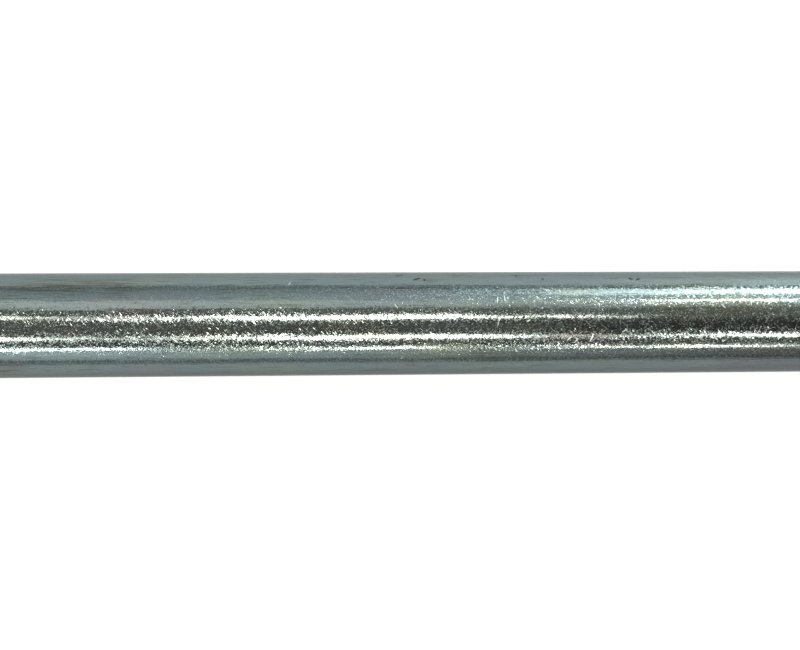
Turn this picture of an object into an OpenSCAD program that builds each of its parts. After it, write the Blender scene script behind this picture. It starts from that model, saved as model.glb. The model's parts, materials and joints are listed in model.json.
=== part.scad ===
// Swingarm axle: a long axle bolt, turned in one piece, with a hexagon head and a threaded end.
// It lies along X. The origin is on the axis, in the bearing face under the head: the head is
// on the -X side, and the thread ends at the tip, which is the +X end.

/* [Shank] */
// Diameter of the plain shank
shank_d = 14; // [10:0.5:17]
// Length from the bearing face under the head to the tip
axle_length = 250; // [120:1:400]
// Radius of the fillet between the shank and the head
neck_fillet = 0.8; // [0.4:0.1:1.2]

/* [Head] */
// Distance across the hexagon's flats
head_flats = 22; // [22:0.5:32]
// Height of the head, with its washer face
head_height = 8.8; // [6:0.1:14]
// Thickness of the round washer face under the hexagon
washer_face_height = 0.6; // [0.2:0.1:1]
// How far the washer face stays inside the flats
washer_face_inset = 0.5; // [0.2:0.1:1]
// Angle of the chamfer on the hexagon's outer corners
corner_chamfer_angle = 30; // [15:1:40]
// How far the flat round top of the head stays inside the flats
top_face_inset = 0.6; // [0.3:0.1:1.5]

/* [Thread] */
// Length of the threaded end, with its run-out
thread_length = 30; // [20:1:50]
// Pitch of the thread
thread_pitch = 1.5; // [1.25:0.25:2]
// How far the crests stay inside the shank's surface
thread_undersize = 0.08; // [0.05:0.01:0.2]
// Turns over which the thread fades out towards the shank
runout_turns = 2; // [0.5:0.5:4]
// How far the tip's chamfer goes in below the thread's root
tip_inset = 0.3; // [0.1:0.1:1]
// Flat sides that stand for one turn of the thread
thread_sides = 36; // [24:4:40]

/* [Hidden] */
$fn = 96;

shank_r = shank_d / 2;
thread_start = axle_length - thread_length;

// The hexagon, measured from its centre.
hexagon_sides = 6;
half_side_angle = 180 / hexagon_sides;
flat_r = head_flats / 2;
corner_r = flat_r / cos(half_side_angle);
washer_face_r = flat_r - washer_face_inset;
top_face_r = flat_r - top_face_inset;

// The basic ISO metric profile: 5/8 of the height of a sharp 60 degree V with the same pitch.
v_height = thread_pitch * sqrt(3) / 2;
thread_depth = v_height * 5 / 8;
crest_r = shank_r - thread_undersize;
root_r = crest_r - thread_depth;
tip_r = root_r - tip_inset;

// The profile's corners over one pitch: where each is, as a share of the pitch, and how deep, as a
// share of the thread's depth. The crest is 1/8 of the pitch wide and the root is 1/4.
profile = [[0, 0], [1 / 8, 0], [7 / 16, 1], [11 / 16, 1]];
corners = len(profile);

// The threaded end starts this far inside the shank, so that the two are one solid.
root_overlap = 0.5;
thread_root_x = thread_start - root_overlap;
thread_turns = ceil((thread_length + root_overlap) / thread_pitch) + 1;
thread_rows = corners * thread_turns;

// A row is the helix that one corner of the profile draws: its x after a number of the turn's sides.
function row_x(side, row) =
    let (turns = floor(row / corners) - 1 + profile[row % corners][0] + side / thread_sides)
    thread_root_x + thread_pitch * turns;

// Share of the full depth that the thread has at x.
function depth_share(x) = min(1, max(0, (x - thread_start) / (runout_turns * thread_pitch)));

// Radius of the tip's 45 degree chamfer at x.
function chamfer_r(x) = tip_r + axle_length - x;

// The rows' x is held between the two ends of the threaded end, where they close up into flat faces.
function thread_point(side, row) =
    let (
        x = min(axle_length, max(thread_root_x, row_x(side, row))),
        depth = thread_depth * profile[row % corners][1] * depth_share(x),
        r = min(crest_r - depth, chamfer_r(x)),
        angle = 360 * side / thread_sides
    )
    [x, r * cos(angle), r * sin(angle)];

// After a full turn a row goes on as the one a pitch further.
function thread_index(side, row) =
    side < thread_sides
        ? side * (thread_rows + 1) + row
        : min(row + corners, thread_rows);

module threaded_end() {
    points = [for (side = [0:thread_sides - 1]) for (row = [0:thread_rows]) thread_point(side, row)];
    strips = [
        for (side = [0:thread_sides - 1]) for (row = [0:thread_rows - 1])
            each [
                [thread_index(side, row), thread_index(side, row + 1), thread_index(side + 1, row + 1)],
                [thread_index(side, row), thread_index(side + 1, row + 1), thread_index(side + 1, row)]
            ]
    ];
    root_face = [for (side = [0:thread_sides - 1]) thread_index(side, 0)];
    tip_face = [for (side = [thread_sides - 1:-1:0]) thread_index(side, thread_rows)];
    polyhedron(points, concat(strips, [root_face, tip_face]));
}

// The plain shank, the fillet at its neck and the washer face, turned as one profile.
module turned_body() {
    rotate([0, 90, 0])
        rotate_extrude()
            difference() {
                union() {
                    translate([0, -washer_face_height])
                        square([washer_face_r, washer_face_height]);
                    square([shank_r, thread_start]);
                    square([shank_r + neck_fillet, neck_fillet]);
                }
                translate([shank_r + neck_fillet, neck_fillet])
                    circle(r = neck_fillet);
            }
}

// The hexagon, with a flat downwards, and with its outer corners taken off by a cone.
module hexagon() {
    prism_height = head_height - washer_face_height;
    cone_height = (corner_r - top_face_r) * tan(corner_chamfer_angle);
    translate([-washer_face_height, 0, 0])
        rotate([0, -90, 0])
            intersection() {
                rotate([0, 0, half_side_angle])
                    cylinder(r = corner_r, h = prism_height, $fn = hexagon_sides);
                rotate_extrude()
                    polygon([
                        [0, 0],
                        [corner_r, 0],
                        [corner_r, prism_height - cone_height],
                        [top_face_r, prism_height],
                        [0, prism_height]
                    ]);
            }
}

module swingarm_axle() {
    color("lightslategray") {
        turned_body();
        hexagon();
        threaded_end();
    }
}

swingarm_axle();
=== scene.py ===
"""Looks for the swingarm axle: a smooth mesh with a rounded thread, its zinc plating, and a studio.

The axle lies along X with its head at -X. All lengths are in metres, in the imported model's frame.
"""

import json
import math

import bmesh
import bpy
import numpy as np
from mathutils import Matrix, Vector


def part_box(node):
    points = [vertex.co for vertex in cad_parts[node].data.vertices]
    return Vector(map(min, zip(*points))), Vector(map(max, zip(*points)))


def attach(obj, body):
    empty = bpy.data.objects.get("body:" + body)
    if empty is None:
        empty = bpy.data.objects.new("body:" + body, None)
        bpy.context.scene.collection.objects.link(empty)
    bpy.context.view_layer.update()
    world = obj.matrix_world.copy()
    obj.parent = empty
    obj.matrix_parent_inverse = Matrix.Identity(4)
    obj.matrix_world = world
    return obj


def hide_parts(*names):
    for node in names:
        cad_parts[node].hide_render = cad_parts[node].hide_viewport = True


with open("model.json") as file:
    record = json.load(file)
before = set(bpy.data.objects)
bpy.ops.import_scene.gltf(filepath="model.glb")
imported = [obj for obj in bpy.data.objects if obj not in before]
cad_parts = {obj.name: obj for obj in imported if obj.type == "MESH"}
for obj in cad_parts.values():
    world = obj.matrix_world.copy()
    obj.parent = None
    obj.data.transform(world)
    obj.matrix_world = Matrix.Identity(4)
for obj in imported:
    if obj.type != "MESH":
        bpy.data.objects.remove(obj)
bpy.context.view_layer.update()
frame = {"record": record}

MM = 0.001
NODE = "swingarm_axle"

# The axle's driving sizes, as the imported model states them.
low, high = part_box(NODE)
mounts = {mount["name"]: mount for mount in frame["record"]["mounts"]}
shank, nut_thread = mounts["shank"], mounts["nut_thread"]
HEAD_HEIGHT = -low.x
FLAT_R = high.z
TIP_X = high.x
SHANK_R = shank["dims"]["r_mm"] * MM
CREST_R = nut_thread["dims"]["r_mm"] * MM
THREAD_X = TIP_X - nut_thread["dims"]["length_mm"] * MM
NECK_FILLET = THREAD_X - shank["dims"]["length_mm"] * MM

# The head.
WASHER_FACE_HEIGHT = 0.6 * MM
WASHER_FACE_INSET = 0.5 * MM
SEAT_RING_INSET = 0.48 * MM
TOP_FACE_INSET = 0.6 * MM
CORNER_CHAMFER = math.radians(30)
CORNER_ROUND = 0.6 * MM
EDGE_ROUND = 0.12 * MM
HEXAGON_SIDES = 6

# The thread: the flats that cut off a sharp V's crests and roots, and its depth.
PITCH = 1.5 * MM
RUNOUT_TURNS = 2
THREAD_SHOULDER = 0.25 * MM
TIP_INSET = 0.3 * MM
CREST_FLAT = PITCH / 8
ROOT_FLAT = PITCH / 4
V_HEIGHT = PITCH * math.sqrt(3) / 2
DEPTH_SHARE = 5 / 8
THREAD_DEPTH = DEPTH_SHARE * V_HEIGHT
TIP_R = CREST_R - THREAD_DEPTH - TIP_INSET

# The thread's rounding. A crest drops at each edge, over a share of its width and by a share of the depth.
CREST_ROUND = 0.2
CREST_DROP = 0.03

# A root's curve starts at a share of the way down the flank, is at the full depth after a share of the
# root's width, and lies a little deeper still in the middle.
FLANK_END = 0.86
ROOT_LEAD = 0.15
ROOT_MIDDLE = 1.04

# The mesh's density: each ring's sides, how strongly they crowd at the hexagon's corners, the steps of a
# rounded edge and of the neck's fillet, the gap between the shank's rings, and how near points become one.
SIDES = 144
CORNER_CROWDING = 2
ROUND_STEPS = 4
NECK_STEPS = 8
SHANK_RING_GAP = 2.5 * MM
MERGE_DISTANCE = 0.001 * MM


def even_angles():
    """The angle of each side of a round ring, from +Y towards +Z."""
    return np.linspace(0, 2 * math.pi, SIDES, endpoint=False)


def hexagon_angles():
    """As many angles, drawn together at the hexagon's corners, of which one points along +Y."""
    half_steps = SIDES // HEXAGON_SIDES // 2
    half_side = math.pi / HEXAGON_SIDES
    steps = half_side * (np.arange(half_steps + 1) / half_steps) ** CORNER_CROWDING
    one_side = np.concatenate([steps[:-1], 2 * half_side - steps[:0:-1]])
    corners = np.arange(HEXAGON_SIDES) * 2 * half_side
    return (corners[:, None] + one_side).ravel()


def hexagon_radius(angles):
    """The radius of the hexagon, with rounded corners, at each angle."""
    half_side = math.pi / HEXAGON_SIDES
    from_corner = np.abs((angles + half_side) % (2 * half_side) - half_side)
    flat = FLAT_R / np.cos(half_side - from_corner)
    centre = (FLAT_R - CORNER_ROUND) / math.cos(half_side)
    reach = np.sqrt(np.maximum(CORNER_ROUND**2 - (centre * np.sin(from_corner)) ** 2, 0))
    rounded = centre * np.cos(from_corner) + reach
    across = CORNER_ROUND * math.sin(half_side)
    outward = centre + CORNER_ROUND * math.cos(half_side)
    return np.where(from_corner < math.atan2(across, outward), rounded, flat)


def at(x, r):
    """A corner of the turned outline, as one (x, r) for each side."""
    return np.stack(np.broadcast_arrays(x, r, np.zeros(SIDES))[:2], axis=1).astype(float)


def unit(vectors):
    """The vectors, each made one long."""
    return vectors / np.linalg.norm(vectors, axis=1, keepdims=True)


def round_corner(before, corner, after, radius, steps=ROUND_STEPS):
    """The rings of an arc that replaces a corner of the outline."""
    back, ahead = unit(before - corner), unit(after - corner)
    half = np.arccos((back * ahead).sum(1).clip(-1, 1)) / 2
    centre = corner + unit(back + ahead) * (radius / np.sin(half))[:, None]
    reach = (radius / np.tan(half))[:, None]
    start, end = corner + back * reach - centre, corner + ahead * reach - centre
    sweep = (math.pi - 2 * half)[:, None]
    arc = []
    for share in np.linspace(0, 1, steps + 1):
        turned = np.sin((1 - share) * sweep) * start + np.sin(share * sweep) * end
        arc.append(centre + turned / np.sin(sweep))
    return arc


def outline_rings(corners):
    """The rings of an outline of (ring, radius of its rounding) corners, whose two ends stay sharp."""
    rings = [corners[0][0]]
    for (before, _), (corner, radius), (after, _) in zip(corners, corners[1:], corners[2:]):
        rings += round_corner(before, corner, after, radius) if radius else [corner]
    return rings + [corners[-1][0]]


def head_rings():
    """The head, from a ring in its top face to a ring just inside its washer face's edge."""
    hexagon = hexagon_radius(hexagon_angles())
    top_r = FLAT_R - TOP_FACE_INSET
    washer_r = FLAT_R - WASHER_FACE_INSET
    chamfer_end = -HEAD_HEIGHT + (hexagon - top_r) * math.tan(CORNER_CHAMFER)
    rings = outline_rings(
        [
            (at(-HEAD_HEIGHT, top_r / 2), 0),
            (at(-HEAD_HEIGHT, top_r), EDGE_ROUND),
            (at(chamfer_end, hexagon), EDGE_ROUND),
            (at(-WASHER_FACE_HEIGHT, hexagon), EDGE_ROUND),
            (at(-WASHER_FACE_HEIGHT, washer_r), EDGE_ROUND),
            (at(0, washer_r), EDGE_ROUND),
            (at(0, washer_r - SEAT_RING_INSET), 0),
        ]
    )
    return [(ring, hexagon_angles()) for ring in rings]


def shank_rings():
    """The fillet at the neck and the plain shank, up to the thread."""
    neck = round_corner(at(0, FLAT_R), at(0, SHANK_R), at(THREAD_X, SHANK_R), NECK_FILLET, NECK_STEPS)
    count = round((THREAD_X - NECK_FILLET) / SHANK_RING_GAP)
    places = np.linspace(NECK_FILLET, THREAD_X - THREAD_SHOULDER, count + 1)[1:]
    return [(ring, even_angles()) for ring in neck + [at(x, SHANK_R) for x in places]]


def thread_profile():
    """One pitch of the thread, from crest to crest: each corner's place along it and its depth."""
    flank = (PITCH - CREST_FLAT - ROOT_FLAT) / 2
    root = CREST_FLAT + flank
    next_flank = root + ROOT_FLAT
    lead = ROOT_LEAD * ROOT_FLAT
    return [
        (0, CREST_DROP * THREAD_DEPTH),
        (CREST_ROUND * CREST_FLAT, 0),
        ((1 - CREST_ROUND) * CREST_FLAT, 0),
        (CREST_FLAT, CREST_DROP * THREAD_DEPTH),
        (CREST_FLAT + flank / 2, THREAD_DEPTH / 2),
        (CREST_FLAT + FLANK_END * flank, FLANK_END * THREAD_DEPTH),
        (root + lead, THREAD_DEPTH),
        (root + ROOT_FLAT / 2, ROOT_MIDDLE * THREAD_DEPTH),
        (next_flank - lead, THREAD_DEPTH),
        (next_flank + (1 - FLANK_END) * flank, FLANK_END * THREAD_DEPTH),
        (next_flank + flank / 2, THREAD_DEPTH / 2),
    ]


def thread_rows():
    """The thread as rows that climb by a pitch each turn, as (x, r) for each row and side."""
    profile = np.array(thread_profile())
    turns = math.ceil((TIP_X - THREAD_X) / PITCH) + 1
    row = np.arange(len(profile) * turns + 1)
    place, depth = profile[row % len(profile)].T
    side = np.arange(SIDES) / SIDES
    x = THREAD_X + place[:, None] + PITCH * ((row // len(profile) - 1)[:, None] + side)
    x = x.clip(THREAD_X, TIP_X)
    share = ((x - THREAD_X) / (RUNOUT_TURNS * PITCH)).clip(0, 1)
    r = np.minimum(CREST_R - depth[:, None] * share, TIP_R + TIP_X - x)
    return np.stack([x, r], axis=2), len(profile)


def axle_mesh():
    """The whole axle as one closed mesh: its points and its faces."""
    points, faces = [], []

    def add_ring(ring, angles):
        x, r = ring[:, 0], ring[:, 1]
        points.extend(np.stack([x, r * np.cos(angles), r * np.sin(angles)], axis=1).tolist())
        return len(points) - SIDES

    def bridge(first, second):
        for side in range(SIDES):
            following = (side + 1) % SIDES
            faces.append((first + side, first + following, second + following, second + side))

    def cap(ring, x, outward):
        points.append((x, 0, 0))
        centre = len(points) - 1
        for side in range(SIDES):
            edge = (ring + side, ring + (side + 1) % SIDES)
            faces.append((centre, *(edge if outward > 0 else edge[::-1])))

    straight = [add_ring(ring, angles) for ring, angles in head_rings() + shank_rings()]
    cap(straight[0], -HEAD_HEIGHT, -1)
    for first, second in zip(straight, straight[1:]):
        bridge(second, first)

    rows, corners = thread_rows()
    row_start = [add_ring(row, even_angles()) for row in rows]
    last = len(row_start) - 1
    bridge(row_start[0], straight[-1])
    for row in range(last):
        for side in range(SIDES):
            near = (row_start[row] + side, row_start[row + 1] + side)
            if side + 1 < SIDES:
                far = (row_start[row] + side + 1, row_start[row + 1] + side + 1)
            else:
                # After a full turn a row goes on as the one a pitch further. At the tip, where there is no
                # further row, both end in the last one, and the face loses the corner that comes twice.
                far = (row_start[min(row + corners, last)], row_start[min(row + 1 + corners, last)])
            face = (near[0], near[1], far[1], far[0])
            faces.append(tuple(dict.fromkeys(face)))

    cap(row_start[last], TIP_X, 1)
    return points, faces


def build_axle():
    """The axle's mesh object, smoothly shaded, with the points that coincide made one."""
    points, faces = axle_mesh()
    mesh = bpy.data.meshes.new("axle_mesh")
    mesh.from_pydata(points, [], faces)
    shape = bmesh.new()
    shape.from_mesh(mesh)
    bmesh.ops.remove_doubles(shape, verts=shape.verts, dist=MERGE_DISTANCE)
    bmesh.ops.dissolve_degenerate(shape, edges=shape.edges, dist=MERGE_DISTANCE)
    bmesh.ops.recalc_face_normals(shape, faces=shape.faces)
    shape.to_mesh(mesh)
    shape.free()
    for polygon in mesh.polygons:
        polygon.use_smooth = True
    axle = bpy.data.objects.new("axle", mesh)
    bpy.context.scene.collection.objects.link(axle)
    weighted = axle.modifiers.new("even shading", "WEIGHTED_NORMAL")
    weighted.keep_sharp = True
    return axle


# The Mix node's two inputs and its output, for each kind of value.
MIX_SOCKETS = {"FLOAT": (2, 3, 0), "RGBA": (6, 7, 2)}


def node(tree, kind, settings=None, **inputs):
    """Adds a node: settings are its properties, and each input is a number, a vector or a node's socket.

    An input goes by its label, with _ for a space, or by _ and its number.
    """
    made = tree.nodes.new("ShaderNode" + kind)
    for name, value in (settings or {}).items():
        setattr(made, name, value)
    for name, value in inputs.items():
        socket = made.inputs[int(name[1:])] if name[0] == "_" else made.inputs[name.replace("_", " ")]
        if isinstance(value, bpy.types.NodeSocket):
            tree.links.new(value, socket)
        else:
            socket.default_value = value
    return made


def numbered(values):
    """Values for the inputs 0, 1, 2 and so on, as node takes them."""
    return {f"_{number}": value for number, value in enumerate(values)}


def maths(tree, operation, *values, clamped=False):
    """A Math node's output."""
    settings = {"operation": operation, "use_clamp": clamped}
    return node(tree, "Math", settings, **numbered(values)).outputs[0]


def vector_maths(tree, operation, *values, result="Vector", **named):
    """A Vector Math node's output."""
    made = node(tree, "VectorMath", {"operation": operation}, **numbered(values), **named)
    return made.outputs[result]


def mixed(tree, share, first, second):
    """A mix of two colours, or of two numbers where the second is given as a number."""
    kind = "FLOAT" if isinstance(second, float) else "RGBA"
    input_a, input_b, output = MIX_SOCKETS[kind]
    second = (*second, 1) if isinstance(second, tuple) else second
    values = {f"_{input_a}": first, f"_{input_b}": second}
    return node(tree, "Mix", {"data_type": kind}, _0=share, **values).outputs[output]


def ranged(tree, value, span, results=(0, 1), interpolation="LINEAR"):
    """A value moved from one span to another, and held at its ends."""
    limits = {"From_Min": span[0], "From_Max": span[1], "To_Min": results[0], "To_Max": results[1]}
    moved = node(tree, "MapRange", {"interpolation_type": interpolation}, Value=value, **limits)
    return moved.outputs["Result"]


def colour_ramp(tree, share, stops):
    """A colour that changes with a share from 0 to 1 through stops, each a (position, colour) pair."""
    ramp = node(tree, "ValToRGB", Fac=share)
    elements = ramp.color_ramp.elements
    for position, _ in stops[1:-1]:
        elements.new(position)
    elements[0].position = stops[0][0]
    elements[-1].position = stops[-1][0]
    for element, (_, colour) in zip(elements, stops):
        element.color = (*colour, 1)
    return ramp.outputs["Color"]


# The middle of a noise's or a random number's range.
MIDDLE = 0.5
NOISE_DETAIL = 2.0

# The plating's grains: for each layer of them their size, the direction in which they lie, how far apart
# the most tilted ones lean along each axis, and how rare those are. Most grains are smooth and a few dull.
GRAIN = (0.5 * MM, 0.085 * MM, 0.085 * MM)
FINE_GRAIN = (0.4 * MM, 0.055 * MM, 0.055 * MM)
GRAIN_LAYERS = [
    (GRAIN, (0.0, 0.1, 0.9), (0.13, 0.125, 0.125), 2.9),
    (GRAIN, (0.9, -0.1, -0.7), (0.13, 0.125, 0.125), 2.9),
    (FINE_GRAIN, (2.2, 0.05, -0.75), (0.17, 0.4, 0.4), 10.0),
]
ROUGH_GRAIN = (0.18 * MM, 0.1 * MM, 0.1 * MM)
ROUGH_TURN = (1.3, 0.2, 0.4)
LEAST_ROUGHNESS = 0.08
ROUGHNESS_SPREAD = 0.3
ROUGHNESS_TAIL = 4.5

# What the plating reflects near grazing angles.
EDGE_TINT = (0.6, 0.6, 0.6, 1)

# The bar's drawing left long faint waves under the plating.
DRAWN_WAVE = (14 * MM, 0.55 * MM, 0.55 * MM)
DRAWN_TILT = (0.1, 0.1, 0.1)

# The two end faces, whose normals lie this nearly along X, were turned, which left faint rings.
END_FACE_LIMIT = 0.95
TURNING_MARK = 0.12 * MM
TURNING_TILT = 0.09

# The plating's colour: its patches, from yellowish through blue to a little red, and thin dull wisps.
PATCH = (16 * MM, 3.5 * MM, 3.5 * MM)
PATCH_COLOURS = [
    (0.3, (0.172, 0.215, 0.197)),
    (0.45, (0.157, 0.209, 0.212)),
    (0.58, (0.154, 0.205, 0.22)),
    (0.72, (0.176, 0.2, 0.21)),
]
WISP = (4 * MM, 0.17 * MM, 0.17 * MM)
WISP_DETAIL = 3.0
WISP_SPAN = (0.56, 0.74)
MOST_WISP = 0.8
WISP_COLOUR = (0.06, 0.068, 0.062)

# Handling marks: where each is along X from the head's seat in mm and round from the top towards +Y in
# degrees, its length in mm, and its slant from the axle's own direction in degrees.
NICKS = [
    (109.5, 66, 0.6, -30),
    (110, 68, 0.7, 55),
    (112, 58, 1.6, 30),
    (113, 56, 0.5, 20),
    (125.5, 64, 0.4, 0),
    (129, 57, 0.5, 0),
    (141, 57, 1.0, -30),
    (142, 56, 1.0, 35),
]
NICK_WIDTH = 0.45 * MM
NICK_COLOUR = (0.03, 0.035, 0.037)
SCRATCHES = [
    (87.5, -13, 0.8, 55),
    (88.5, -13, 0.5, 65),
    (92, -12, 0.7, 70),
    (95, 50, 1.1, 65),
    (109, 19, 1.1, -60),
    (122.5, 0, 1.3, 75),
    (122.5, 26, 1.3, 85),
    (123.5, 27, 1.4, -85),
    (123.5, 35, 0.7, 70),
    (126.5, 2, 0.8, 35),
    (128, 28, 1.0, -40),
    (131, 37, 0.6, -60),
    (132, -18, 1.0, 45),
    (133, -20, 1.1, 50),
    (135, -18, 1.4, 65),
    (139.5, -9, 1.2, 25),
    (153, 17, 1.0, -45),
]
SCRATCH_WIDTH = 0.2 * MM
SCRATCH_ROUGHNESS = 0.35
SCRATCH_COLOUR = (0.38, 0.5, 0.5)

# How steeply a mark starts at its edge: at 2 it is full from halfway between its edge and its middle.
MARK_STEEPNESS = 2.0

# Stains in the passivation: each one's place along X and round the axle as for the marks, its length and
# width in mm, and its colour. They are broken into streaks.
STAINS = [
    (67, 48, 22, 4.0, (0.095, 0.11, 0.094)),
    (57, -52, 9, 4.0, (0.125, 0.125, 0.122)),
    (160, -54, 18, 5.0, (0.135, 0.145, 0.165)),
]
STREAK_SPAN = (0.4, 0.56)

# Finer scratches all over, as long grains of which few are taken.
FINE_SCRATCH = (1.6 * MM, 0.06 * MM, 0.06 * MM)
FINE_SCRATCH_CHANCE = 0.008


def noise(tree, place, size, detail=NOISE_DETAIL):
    """Noise whose lumps have this size along each axis."""
    sized = node(tree, "Mapping", {"vector_type": "TEXTURE"}, Vector=place, Scale=size)
    return node(tree, "TexNoise", Vector=sized.outputs["Vector"], Scale=1.0, Detail=detail)


def tilted_by(tree, normal, colour, tilt, strength=1.0):
    """The normal moved by a colour's offset from mid grey, times a tilt for each axis and a strength."""
    offset = vector_maths(tree, "SUBTRACT", colour, (MIDDLE, MIDDLE, MIDDLE))
    aside = vector_maths(tree, "MULTIPLY", offset, tilt)
    return vector_maths(tree, "ADD", normal, vector_maths(tree, "SCALE", aside, Scale=strength))


def grain_chances(tree, place, size, turn):
    """Random numbers for each of the plating's small long grains: a colour's three, and a fourth."""
    turned = node(tree, "Mapping", {"vector_type": "TEXTURE"}, Vector=place, Rotation=turn, Scale=size)
    cells = node(tree, "TexVoronoi", Vector=turned.outputs["Vector"], Scale=1.0)
    chances = node(tree, "TexWhiteNoise", Vector=cells.outputs["Position"])
    return chances.outputs["Color"], chances.outputs["Value"]


def marks(tree, place, rows, width):
    """How far a point is inside any of these handling marks: 0 outside, 1 well inside."""
    split = node(tree, "SeparateXYZ", Vector=place)
    turn = maths(tree, "ARCTAN2", split.outputs["Y"], split.outputs["Z"])
    around = maths(tree, "MULTIPLY", turn, SHANK_R)
    surface = node(tree, "CombineXYZ", X=split.outputs["X"], Y=around).outputs["Vector"]
    inside = 0.0
    for x, degrees, length, slant in rows:
        spot = node(
            tree,
            "Mapping",
            {"vector_type": "TEXTURE"},
            Vector=surface,
            Location=(x * MM, math.radians(degrees) * SHANK_R, 0),
            Rotation=(0, 0, math.radians(slant)),
            Scale=(length * MM / 2, width / 2, 1),
        )
        reach = vector_maths(tree, "LENGTH", spot.outputs["Vector"], result="Value")
        inside = maths(tree, "MAXIMUM", inside, maths(tree, "SUBTRACT", 1.0, reach))
    return maths(tree, "MULTIPLY", inside, MARK_STEEPNESS, clamped=True)


def end_face(tree):
    """1 on the faces that close the axle's two ends, 0 on its sides."""
    along = node(tree, "SeparateXYZ", Vector=node(tree, "NewGeometry").outputs["Normal"]).outputs["X"]
    return maths(tree, "GREATER_THAN", maths(tree, "ABSOLUTE", along), END_FACE_LIMIT)


def plating_colour(tree, place, nicks, scratches):
    """The zinc's patches, with wisps on the sides, stains, scratches and nicks over them."""
    patches = colour_ramp(tree, noise(tree, place, PATCH).outputs["Fac"], PATCH_COLOURS)
    threads = noise(tree, place, WISP, WISP_DETAIL).outputs["Fac"]
    wisps = ranged(tree, threads, WISP_SPAN, (0, MOST_WISP))
    sides = maths(tree, "SUBTRACT", 1, end_face(tree))
    zinc = mixed(tree, maths(tree, "MULTIPLY", wisps, sides), patches, WISP_COLOUR)
    streaks = ranged(tree, threads, STREAK_SPAN)
    for x, degrees, length, width, colour in STAINS:
        spot = marks(tree, place, [(x, degrees, length, 0)], width * MM)
        zinc = mixed(tree, maths(tree, "MULTIPLY", spot, streaks), zinc, colour)
    zinc = mixed(tree, scratches, zinc, SCRATCH_COLOUR)
    return mixed(tree, nicks, zinc, NICK_COLOUR)


def turned_rings(tree, place, normal):
    """The normal, tilted on the end faces by rings that change with the distance from the axle's line."""
    across = vector_maths(tree, "MULTIPLY", place, (0, 1, 1))
    radius = vector_maths(tree, "LENGTH", across, result="Value")
    rings = node(tree, "TexNoise", {"noise_dimensions": "1D"}, W=radius, Scale=1 / TURNING_MARK)
    rings = maths(tree, "SUBTRACT", rings.outputs["Fac"], MIDDLE)
    rings = maths(tree, "MULTIPLY", maths(tree, "MULTIPLY", rings, end_face(tree)), TURNING_TILT)
    outward = vector_maths(tree, "NORMALIZE", across)
    return vector_maths(tree, "ADD", normal, vector_maths(tree, "SCALE", outward, Scale=rings))


def plating_normal(tree, place):
    """The surface's normal, tilted by the bar's drawing, the plating's grains and the turned rings."""
    normal = node(tree, "NewGeometry").outputs["Normal"]
    normal = tilted_by(tree, normal, noise(tree, place, DRAWN_WAVE).outputs["Color"], DRAWN_TILT)
    for size, turn, tilt, rarity in GRAIN_LAYERS:
        direction, chance = grain_chances(tree, place, size, turn)
        normal = tilted_by(tree, normal, direction, tilt, maths(tree, "POWER", chance, rarity))
    return vector_maths(tree, "NORMALIZE", turned_rings(tree, place, normal))


def plating_roughness(tree, place, scratches):
    """Each grain's own roughness: smooth for most, dull for a few, and one value for all scratches."""
    _, chance = grain_chances(tree, place, ROUGH_GRAIN, ROUGH_TURN)
    tail = maths(tree, "POWER", chance, ROUGHNESS_TAIL)
    grain = maths(tree, "MULTIPLY_ADD", tail, ROUGHNESS_SPREAD, LEAST_ROUGHNESS)
    for _, turn, _, _ in GRAIN_LAYERS:
        _, chance = grain_chances(tree, place, FINE_SCRATCH, turn)
        taken = maths(tree, "LESS_THAN", chance, FINE_SCRATCH_CHANCE)
        scratches = maths(tree, "MAXIMUM", scratches, taken)
    return mixed(tree, scratches, grain, SCRATCH_ROUGHNESS)


def zinc_plating():
    """The axle's material."""
    material = bpy.data.materials.new("zinc_plating")
    material.use_nodes = True
    tree = material.node_tree
    shader = tree.nodes["Principled BSDF"]
    shader.inputs["Metallic"].default_value = 1
    shader.inputs["Specular Tint"].default_value = EDGE_TINT
    place = node(tree, "TexCoord").outputs["Object"]
    nicks = marks(tree, place, NICKS, NICK_WIDTH)
    scratches = marks(tree, place, SCRATCHES, SCRATCH_WIDTH)
    tree.links.new(plating_colour(tree, place, nicks, scratches), shader.inputs["Base Color"])
    tree.links.new(plating_normal(tree, place), shader.inputs["Normal"])
    tree.links.new(plating_roughness(tree, place, scratches), shader.inputs["Roughness"])
    return material


# The white floor, and how much it is lifted above the light that falls on it: evenly towards the camera,
# and towards the plating by painted light, a glow that shines more from the far side (+Y) than from the
# near one (-Y), where it is a painted shadow of the axle, and that fades well away from the axle.
FLOOR_SIZE = 24.0
FLOOR_COLOUR = (0.8, 0.8, 0.8, 1)
FLOOR_ROUGHNESS = 0.42
FLOOR_LIFT = 0.78
FLOOR_LIFT_COLOUR = (1, 1, 1, 1)
FLOOR_PAINTED_GLOW = (0.5, 0.82)
FLOOR_PAINTED_GLOW_SPAN = (-0.01, 0.01)
FLOOR_PAINTED_GLOW_FADE = (0.12, 0.18)


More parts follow.
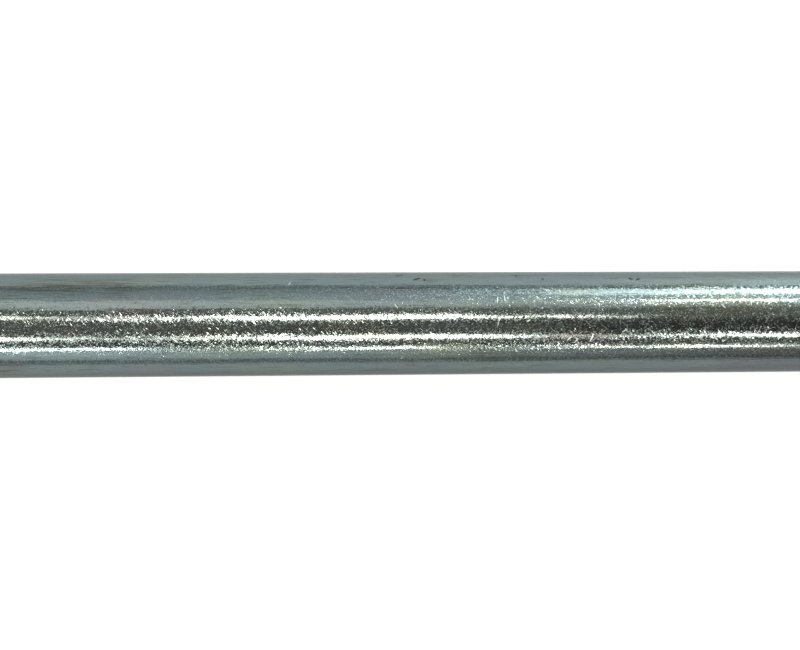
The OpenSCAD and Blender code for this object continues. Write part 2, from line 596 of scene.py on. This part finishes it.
def floor_white():
    """The floor's material."""
    material = bpy.data.materials.new("floor_white")
    material.use_nodes = True
    tree = material.node_tree
    shader = tree.nodes["Principled BSDF"]
    shader.inputs["Base Color"].default_value = FLOOR_COLOUR
    shader.inputs["Roughness"].default_value = FLOOR_ROUGHNESS
    shader.inputs["Emission Color"].default_value = FLOOR_LIFT_COLOUR
    rays = node(tree, "LightPath").outputs
    across = node(tree, "SeparateXYZ", Vector=node(tree, "NewGeometry").outputs["Position"]).outputs["Y"]
    # Painted light: towards the plating the floor glows brighter towards +Y and darker towards -Y, a
    # painted shadow of the axle, and fades far from it.
    painted_glow = ranged(tree, across, FLOOR_PAINTED_GLOW_SPAN, FLOOR_PAINTED_GLOW, "SMOOTHSTEP")
    fade = ranged(tree, maths(tree, "ABSOLUTE", across), FLOOR_PAINTED_GLOW_FADE, (1, 0))
    reflected = maths(tree, "ADD", rays["Is Glossy Ray"], rays["Is Transmission Ray"])
    reflected = maths(tree, "MULTIPLY", reflected, painted_glow)
    reflected = maths(tree, "MULTIPLY", reflected, fade)
    lift = maths(tree, "MULTIPLY_ADD", rays["Is Camera Ray"], FLOOR_LIFT, reflected)
    tree.links.new(lift, shader.inputs["Emission Strength"])
    return material


def make_floor():
    """A pale floor that touches the head's lowest flat and the thread's crests near the tip."""
    tilt = math.atan2(FLAT_R - CREST_R, TIP_X - (CREST_R - TIP_R))
    bpy.ops.mesh.primitive_plane_add(size=FLOOR_SIZE)
    floor = bpy.context.object
    floor.name = "floor"
    floor.rotation_euler = (0, -tilt, 0)
    floor.location = (-WASHER_FACE_HEIGHT, 0, -FLAT_R)
    floor.data.materials.append(floor_white())


# The colours of the studio's light.
WARM = (1.0, 0.85, 0.72)
COOL = (1.0, 1.0, 0.96)
PALE = (1.0, 0.92, 0.84)

# The studio's walls and ceiling: an angle from straight up, in degrees and positive towards -Y, and how
# bright they are there at the head's end and at the tip's end, with the colour of each.
WALLS = [
    (-90, 0.6, COOL, 0.45, COOL),
    (-85, 0.6, COOL, 0.5, COOL),
    (-81, 0.75, COOL, 1.0, COOL),
    (-55, 1.0, COOL, 1.4, COOL),
    (-52, 2.0, PALE, 1.6, PALE),
    (-38, 2.0, PALE, 1.06, PALE),
    (-34, 0.42, WARM, 0.5, WARM),
    (-24, 0.36, WARM, 0.48, WARM),
    (0, 0.38, WARM, 0.11, WARM),
    (12, 0.38, WARM, 0.1, WARM),
    (22, 0.28, WARM, 0.12, WARM),
    (48, 0.13, COOL, 0.24, WARM),
    (60, 1.15, COOL, 0.4, WARM),
    (64, 1.6, COOL, 0.42, WARM),
    (80, 1.35, COOL, 0.4, WARM),
    (84, 0.45, COOL, 0.2, COOL),
    (90, 0.45, COOL, 0.2, COOL),
]

# The sines of the slants along X between which the walls go over from the head's end to the tip's, and
# the place of straight up in the ramp from the horizon at +Y to the one at -Y.
WALL_ENDS = (-0.15, 0.42)
RAMP_TOP = 0.5


def make_world():
    """The studio's walls and ceiling, whose light changes round the axle and along it."""
    world = bpy.data.worlds.new("studio")
    bpy.context.scene.world = world
    world.use_nodes = True
    tree = world.node_tree
    split = node(tree, "SeparateXYZ", Vector=node(tree, "TexCoord").outputs["Generated"])
    angle = maths(tree, "ARCTAN2", maths(tree, "MULTIPLY", split.outputs["Y"], -1), split.outputs["Z"])
    share = maths(tree, "MULTIPLY_ADD", angle, 1 / math.pi, RAMP_TOP)
    head_stops, tip_stops = [], []
    for degrees, at_head, head_colour, at_tip, tip_colour in WALLS:
        position = math.radians(degrees) / math.pi + RAMP_TOP
        head_stops.append((position, [at_head * channel for channel in head_colour]))
        tip_stops.append((position, [at_tip * channel for channel in tip_colour]))
    along = ranged(tree, split.outputs["X"], WALL_ENDS, interpolation="SMOOTHSTEP")
    head_end, tip_end = colour_ramp(tree, share, head_stops), colour_ramp(tree, share, tip_stops)
    tree.links.new(mixed(tree, along, head_end, tip_end), tree.nodes["Background"].inputs["Color"])


# The lamps: long strips parallel to the axle. Each has its angle from straight up, in degrees and positive
# towards -Y, how wide it looks from the axle, in degrees, its colour, how bright it is, and where it starts
# and ends along X. Strips a, b and c make the three bright lines on top of the shank, d and e the bright
# band and the line towards +Y, and the fills lighten the dark bands between a and b and between b and c.
LAMP_DISTANCE = 0.9
LAMPS = {
    "a_head": (-15.5, 4.5, WARM, 19, -0.4, -0.095),
    "a_neck": (-15.5, 3.5, WARM, 3.1, -0.095, 0.04),
    "a_shank": (-13.8, 5.6, WARM, 26, 0.04, 0.285),
    "a_end": (-13.3, 5.5, WARM, 8, 0.285, 0.36),
    "a_tip": (-14, 5, WARM, 9, 0.65, 0.9),
    "dark_fill": (8, 14, WARM, 0.17, 0.21, 0.33),
    "b_head": (29.3, 6.5, WARM, 36, -0.4, -0.068),
    "b_neck": (30.5, 3.5, WARM, 3.6, -0.068, 0.035),
    "b_start": (30, 3.5, WARM, 5, 0.035, 0.105),
    "b_shank": (29.7, 7, WARM, 26, 0.105, 0.277),
    "b_gap": (30, 3.8, WARM, 3, 0.277, 0.45),
    "b_tip": (31, 4.5, WARM, 26, 0.45, 0.9),
    "gap_fill": (42, 8, WARM, 0.13, 0.16, 0.27),
    "c_head": (54.5, 3.2, PALE, 40, -0.4, -0.01),
    "c_neck": (55, 2.5, WARM, 1.6, -0.01, 0.137),
    "c_shank": (55.2, 2.8, WARM, 38, 0.137, 0.215),
    "c_gap": (56, 2.5, WARM, 1.7, 0.215, 0.35),
    "c_tip": (56, 2.8, WARM, 36, 0.35, 0.45),
    "c_end": (56, 2.5, WARM, 6, 0.45, 0.9),
    "d_start": (-73, 13, COOL, 3.5, 0.31, 0.5),
    "d_tip": (-74, 15, COOL, 19, 0.5, 0.9),
    "e_tip": (-49.5, 2, PALE, 30, 0.38, 0.9),
}

# A large soft panel beyond each end of the axle, for views along it.
END_PANEL_SIZE = (0.7, 1.2)
END_PANEL_X = 1.1
END_PANEL_HEIGHT = 0.45
END_PANEL_RADIANCE = 2.0


def area_lamp(name, size, colour, radiance, place, turn):
    """A lamp that only shows in reflections: a square metre that gives off pi watts has a radiance of 1."""
    data = bpy.data.lights.new(name, "AREA")
    data.shape = "RECTANGLE"
    data.size, data.size_y = size
    data.energy = radiance * math.pi * data.size * data.size_y
    data.color = colour
    lamp = bpy.data.objects.new(name, data)
    bpy.context.scene.collection.objects.link(lamp)
    lamp.location = place
    lamp.rotation_euler = turn
    lamp.visible_camera = False
    lamp.visible_diffuse = False


def make_lamps():
    """The strips, all at one distance from the axle, and the panels at its two ends."""
    for name, (angle, width, colour, radiance, start, end) in LAMPS.items():
        slant = math.radians(angle)
        size = (end - start, 2 * LAMP_DISTANCE * math.tan(math.radians(width / 2)))
        place = ((start + end) / 2, -LAMP_DISTANCE * math.sin(slant), LAMP_DISTANCE * math.cos(slant))
        area_lamp("lamp_" + name, size, colour, radiance, place, (slant, 0, 0))
    for name, side in (("head", -1), ("tip", 1)):
        place = (side * END_PANEL_X, 0, END_PANEL_HEIGHT)
        turn = (0, side * math.pi / 2, 0)
        area_lamp("panel_" + name, END_PANEL_SIZE, COOL, END_PANEL_RADIANCE, place, turn)


# What the photograph's frame shows: the place along the axle in its middle, the shank's thickness there and
# how far above the middle its line runs, both in the photo's pixels, and how the camera is turned.
PHOTO_WIDTH_PX = 800
VIEW_X = 0.11
VIEW_SHANK_PX = 102.8
VIEW_LIFT_PX = 1.5
VIEW_ANGLE = math.radians(30)
VIEW_TILT = math.radians(4.5)
VIEW_ROLL = math.radians(0.32)
CLIP_START = 0.01
CLIP_END = 50


def make_camera():
    """The camera looks down on the middle of the shank, and a little towards the tip."""
    data = bpy.data.cameras.new("camera")
    data.sensor_fit = "HORIZONTAL"
    data.angle = VIEW_ANGLE
    data.clip_start = CLIP_START
    data.clip_end = CLIP_END
    camera = bpy.data.objects.new("camera", data)
    bpy.context.scene.collection.objects.link(camera)
    bpy.context.scene.camera = camera
    ahead = Vector((math.sin(VIEW_TILT), 0, -math.cos(VIEW_TILT)))
    right = Vector((math.cos(VIEW_TILT), 0, math.sin(VIEW_TILT)))
    up = Vector((0, 1, 0))
    turned_right = right * math.cos(VIEW_ROLL) - up * math.sin(VIEW_ROLL)
    turned_up = right * math.sin(VIEW_ROLL) + up * math.cos(VIEW_ROLL)
    rotation = Matrix((turned_right, turned_up, -ahead)).transposed()
    pixels_per_metre = VIEW_SHANK_PX / (2 * SHANK_R)
    focal_px = PHOTO_WIDTH_PX / 2 / math.tan(VIEW_ANGLE / 2)
    distance = focal_px / pixels_per_metre
    aim = Vector((VIEW_X, -VIEW_LIFT_PX / pixels_per_metre, 0))
    camera.matrix_world = Matrix.Translation(aim - ahead * distance) @ rotation.to_4x4()


axle = build_axle()
axle.data.materials.append(zinc_plating())
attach(axle, "root")
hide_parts(NODE)

make_floor()
make_world()
make_lamps()
make_camera()

scene = bpy.context.scene
scene.view_settings.view_transform = "Standard"
